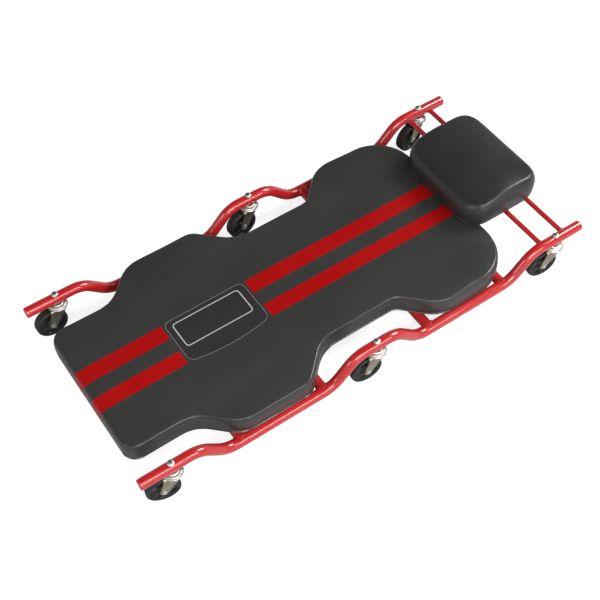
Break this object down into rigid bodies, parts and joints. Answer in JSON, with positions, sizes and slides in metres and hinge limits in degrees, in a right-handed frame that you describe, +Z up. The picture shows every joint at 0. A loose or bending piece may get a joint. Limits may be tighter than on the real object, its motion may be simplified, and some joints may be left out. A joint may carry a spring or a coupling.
{
  "type": "mechanics creeper",
  "caption": "Low padded creeper: waisted vinyl deck on cranked red tube rails, swivel casters under the rails and a separate headrest on two cross rods.",
  "frame": {"origin": "on the floor, under the middle of the frame and of the caster pattern", "axes": "+X towards the head end, +Y to the frame's left side, +Z up"},
  "size_m": [0.918, 0.435, 0.151],
  "materials": {
    "frame_paint": "glossy red powder coat",
    "deck_vinyl": "satin charcoal vinyl with red stripes",
    "headrest_vinyl": "semi-gloss charcoal vinyl",
    "plywood": "raw",
    "bright_zinc": "bright zinc plate",
    "dull_zinc": "dull olive zinc plate",
    "ball_steel": "polished",
    "wheel_rubber": "matte black"
  },
  "bodies": {
    "frame": {"side_rail_left": "frame_paint", "side_rail_right": "frame_paint", "cross_tube_foot": "frame_paint", "cross_tube_hip": "frame_paint", "cross_tube_waist": "frame_paint", "cross_tube_shoulder": "frame_paint", "head_rod_inner": "frame_paint", "head_rod_outer": "frame_paint", "deck_board": "plywood", "deck_pad": "deck_vinyl", "deck_screw_foot_left": "bright_zinc", "deck_screw_foot_right": "bright_zinc", "deck_screw_hip_left": "bright_zinc", "deck_screw_hip_right": "bright_zinc", "deck_screw_waist_left": "bright_zinc", "deck_screw_waist_right": "bright_zinc", "deck_screw_shoulder_left": "bright_zinc", "deck_screw_shoulder_right": "bright_zinc", "stem_bolt_foot_left": "bright_zinc", "swivel_cup_foot_left": "bright_zinc", "stem_bolt_foot_right": "bright_zinc", "swivel_cup_foot_right": "bright_zinc", "stem_bolt_mid_left": "bright_zinc", "swivel_cup_mid_left": "bright_zinc", "stem_bolt_mid_right": "bright_zinc", "swivel_cup_mid_right": "bright_zinc", "stem_bolt_head_left": "bright_zinc", "swivel_cup_head_left": "bright_zinc", "stem_bolt_head_right": "bright_zinc", "swivel_cup_head_right": "bright_zinc"},
    "headrest": {"headrest_board": "plywood", "headrest_pad": "headrest_vinyl", "saddle_clip_inner_left": "bright_zinc", "saddle_clip_inner_right": "bright_zinc", "saddle_clip_outer_left": "bright_zinc", "saddle_clip_outer_right": "bright_zinc"},
    "fork_foot_left": {"ball_ring_foot_left": "ball_steel", "fork_foot_left": "dull_zinc", "axle_pin_foot_left": "bright_zinc"},
    "wheel_foot_left": {"wheel_foot_left": "wheel_rubber"},
    "fork_foot_right": {"ball_ring_foot_right": "ball_steel", "fork_foot_right": "dull_zinc", "axle_pin_foot_right": "bright_zinc"},
    "wheel_foot_right": {"wheel_foot_right": "wheel_rubber"},
    "fork_mid_left": {"ball_ring_mid_left": "ball_steel", "fork_mid_left": "dull_zinc", "axle_pin_mid_left": "bright_zinc"},
    "wheel_mid_left": {"wheel_mid_left": "wheel_rubber"},
    "fork_mid_right": {"ball_ring_mid_right": "ball_steel", "fork_mid_right": "dull_zinc", "axle_pin_mid_right": "bright_zinc"},
    "wheel_mid_right": {"wheel_mid_right": "wheel_rubber"},
    "fork_head_left": {"ball_ring_head_left": "ball_steel", "fork_head_left": "dull_zinc", "axle_pin_head_left": "bright_zinc"},
    "wheel_head_left": {"wheel_head_left": "wheel_rubber"},
    "fork_head_right": {"ball_ring_head_right": "ball_steel", "fork_head_right": "dull_zinc", "axle_pin_head_right": "bright_zinc"},
    "wheel_head_right": {"wheel_head_right": "wheel_rubber"}
  },
  "joints": [
    {"name": "headrest_slide", "type": "slide", "parent": "frame", "child": "headrest", "axis": [0, 1, 0], "range_m": [-0.08, 0.08]},
    {"name": "swivel_foot_left", "type": "hinge", "parent": "frame", "child": "fork_foot_left", "pos_m": [-0.4, 0.2, 0.0638], "axis": [0, 0, 1], "continuous": true},
    {"name": "spin_foot_left", "type": "hinge", "parent": "fork_foot_left", "child": "wheel_foot_left", "pos_m": [-0.421, 0.19963, 0.03012], "axis": [0.0175, -0.9998, 0], "continuous": true},
    {"name": "swivel_foot_right", "type": "hinge", "parent": "frame", "child": "fork_foot_right", "pos_m": [-0.4, -0.2, 0.0638], "axis": [0, 0, 1], "continuous": true},
    {"name": "spin_foot_right", "type": "hinge", "parent": "fork_foot_right", "child": "wheel_foot_right", "pos_m": [-0.42054, -0.19563, 0.03012], "axis": [-0.2079, -0.9781, 0], "continuous": true},
    {"name": "swivel_mid_left", "type": "hinge", "parent": "frame", "child": "fork_mid_left", "pos_m": [0, 0.2, 0.0638], "axis": [0, 0, 1], "continuous": true},
    {"name": "spin_mid_left", "type": "hinge", "parent": "fork_mid_left", "child": "wheel_mid_left", "pos_m": [-0.02092, 0.19817, 0.03012], "axis": [0.0872, -0.9962, 0], "continuous": true},
    {"name": "swivel_mid_right", "type": "hinge", "parent": "frame", "child": "fork_mid_right", "pos_m": [0, -0.2, 0.0638], "axis": [0, 0, 1], "continuous": true},
    {"name": "spin_mid_right", "type": "hinge", "parent": "fork_mid_right", "child": "wheel_mid_right", "pos_m": [-0.02092, -0.19817, 0.03012], "axis": [-0.0872, -0.9962, 0], "continuous": true},
    {"name": "swivel_head_left", "type": "hinge", "parent": "frame", "child": "fork_head_left", "pos_m": [0.4, 0.2, 0.0638], "axis": [0, 0, 1], "continuous": true},
    {"name": "spin_head_left", "type": "hinge", "parent": "fork_head_left", "child": "wheel_head_left", "pos_m": [0.37926, 0.19672, 0.03012], "axis": [0.1564, -0.9877, 0], "continuous": true},
    {"name": "swivel_head_right", "type": "hinge", "parent": "frame", "child": "fork_head_right", "pos_m": [0.4, -0.2, 0.0638], "axis": [0, 0, 1], "continuous": true},
    {"name": "spin_head_right", "type": "hinge", "parent": "fork_head_right", "child": "wheel_head_right", "pos_m": [0.3792, -0.19708, 0.03012], "axis": [-0.1392, -0.9903, 0], "continuous": true}
  ]
}
